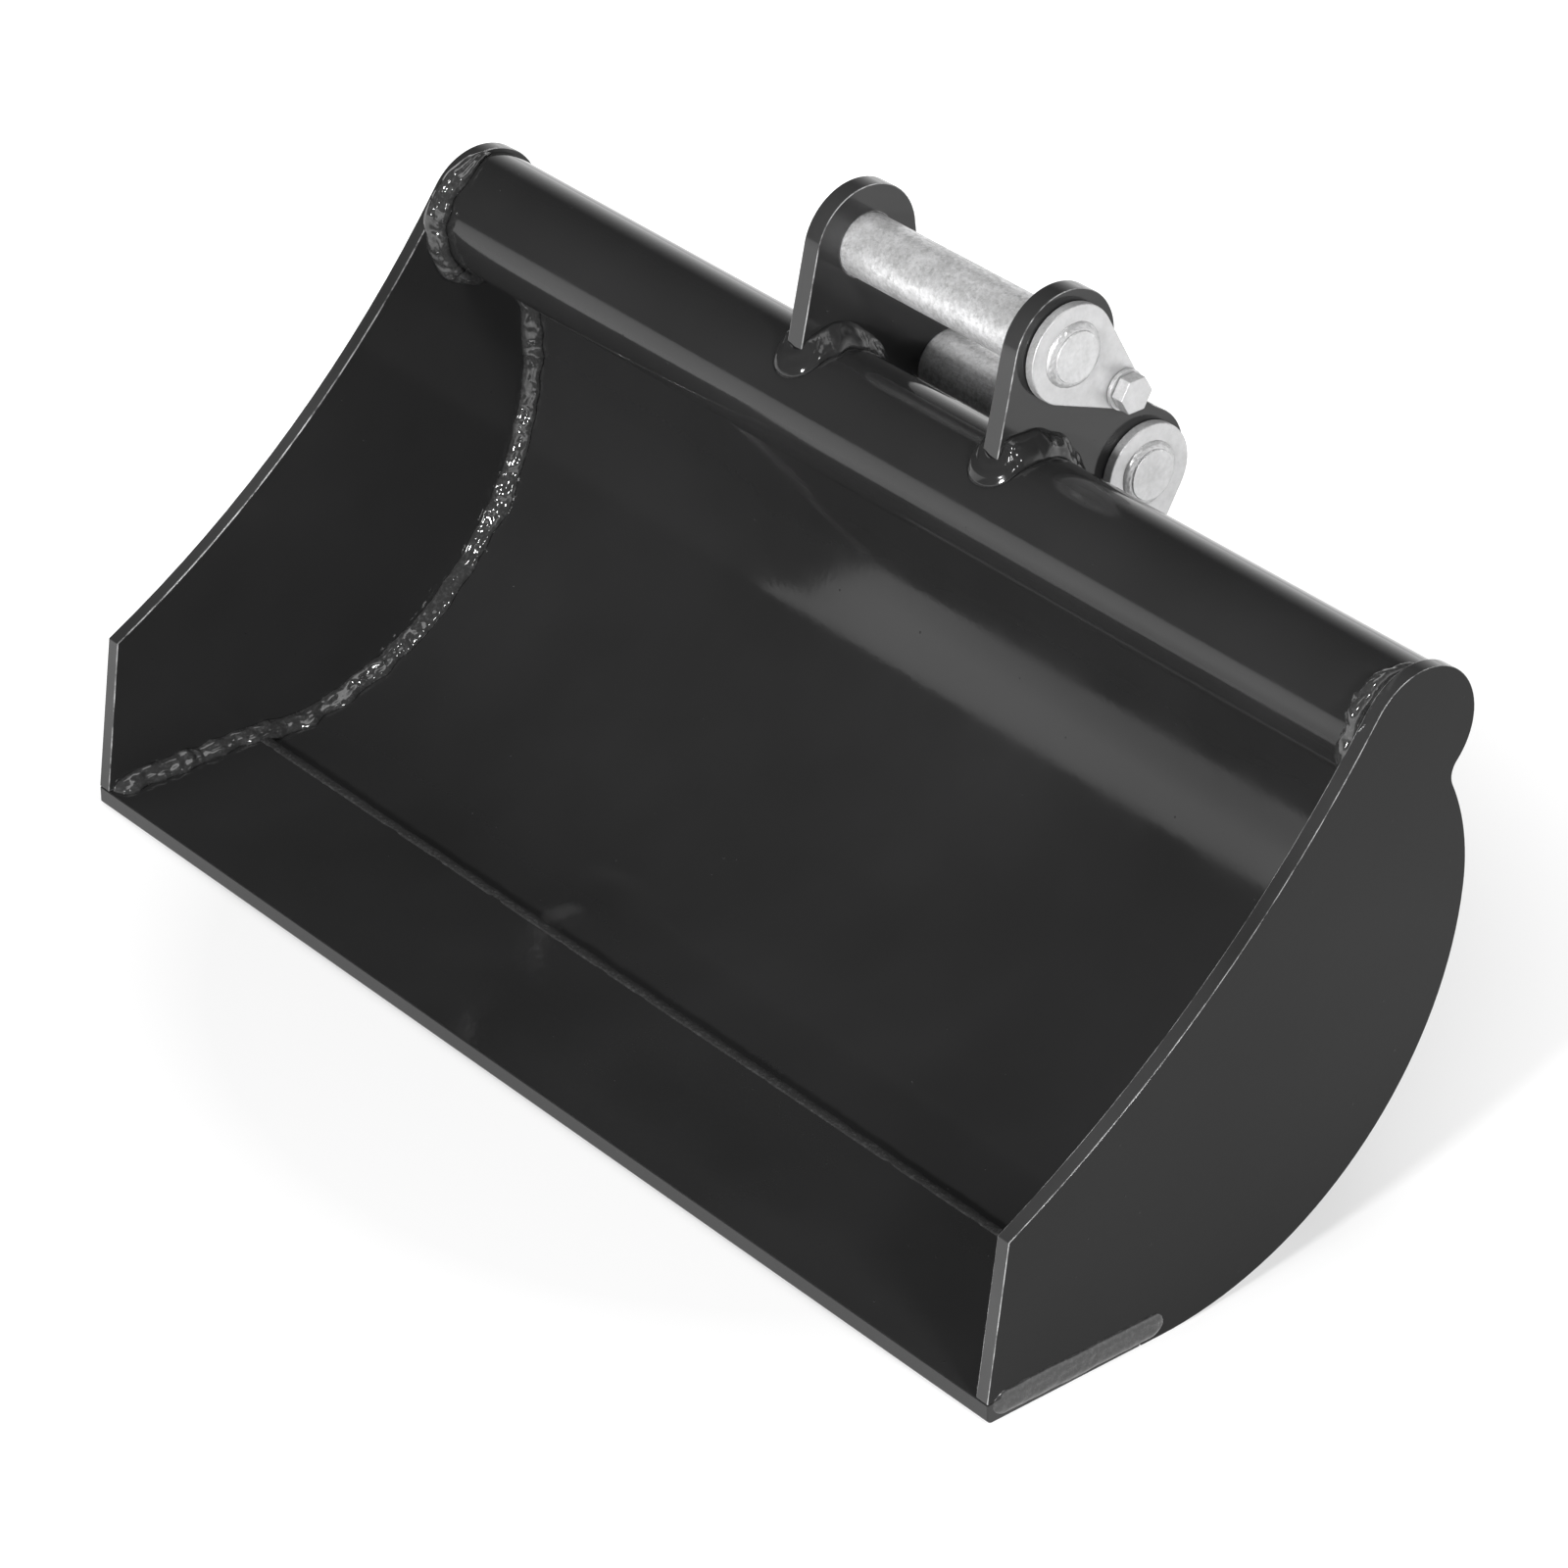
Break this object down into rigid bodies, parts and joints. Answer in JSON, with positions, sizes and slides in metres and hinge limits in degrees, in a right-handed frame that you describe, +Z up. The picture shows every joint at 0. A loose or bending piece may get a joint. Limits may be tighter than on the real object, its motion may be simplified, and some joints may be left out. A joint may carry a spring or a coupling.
{
  "type": "excavator ditching bucket",
  "caption": "Wide smooth-lipped ditching bucket for a mini excavator: bent shell, side plates, torque tube, two hanger ears and two removable bolted pins.",
  "frame": {"origin": "middle of the part's overall box, on the ground plane the cutting edge lies on", "axes": "+X across the bucket towards the side the pins go in from, +Y from the cutting edge back to the hanger ears, +Z up with the cutting edge lying flat"},
  "size_m": [0.525, 0.269, 0.2801],
  "materials": {
    "black_paint": "gloss charcoal black paint on welded steel plate",
    "painted_weld": "weld bead under the same gloss paint, rippled",
    "zinc_plate": "bright mottled zinc plating"
  },
  "bodies": {
    "bucket": {"side_plate_left": "black_paint", "side_plate_right": "black_paint", "wrapper_plate": "black_paint", "cutting_edge": "black_paint", "torque_tube": "black_paint", "ear_left": "black_paint", "ear_right": "black_paint", "inner_corner_weld_left": "painted_weld", "inner_corner_weld_right": "painted_weld", "tube_end_weld_left": "painted_weld", "tube_end_weld_right": "painted_weld", "lip_seam_weld": "painted_weld", "tube_seam_weld_inside": "painted_weld", "tube_seam_weld_back_left": "painted_weld", "tube_seam_weld_back_middle": "painted_weld", "tube_seam_weld_back_right": "painted_weld", "ear_weld_left_inner": "painted_weld", "ear_weld_left_outer": "painted_weld", "ear_weld_right_inner": "painted_weld", "ear_weld_right_outer": "painted_weld", "lip_end_weld_left": "painted_weld", "lip_end_weld_right": "painted_weld"},
    "upper_pin": {"upper_pin_bar": "zinc_plate", "upper_pin_flag": "zinc_plate", "upper_pin_weld_ring": "zinc_plate"},
    "upper_bolt": {"upper_pin_washer": "zinc_plate", "upper_pin_bolt": "zinc_plate"},
    "lower_pin": {"lower_pin_bar": "zinc_plate", "lower_pin_flag": "zinc_plate", "lower_pin_weld_ring": "zinc_plate"},
    "lower_bolt": {"lower_pin_washer": "zinc_plate", "lower_pin_bolt": "zinc_plate"}
  },
  "joints": [
    {"name": "upper_pin_draw", "type": "slide", "parent": "bucket", "child": "upper_pin", "axis": [1, 0, 0], "range_m": [0, 0.125]},
    {"name": "upper_bolt_draw", "type": "slide", "parent": "upper_pin", "child": "upper_bolt", "axis": [1, 0, 0], "range_m": [0, 0.02]},
    {"name": "lower_pin_draw", "type": "slide", "parent": "bucket", "child": "lower_pin", "axis": [1, 0, 0], "range_m": [0, 0.125]},
    {"name": "lower_bolt_draw", "type": "slide", "parent": "lower_pin", "child": "lower_bolt", "axis": [1, 0, 0], "range_m": [0, 0.02]}
  ]
}
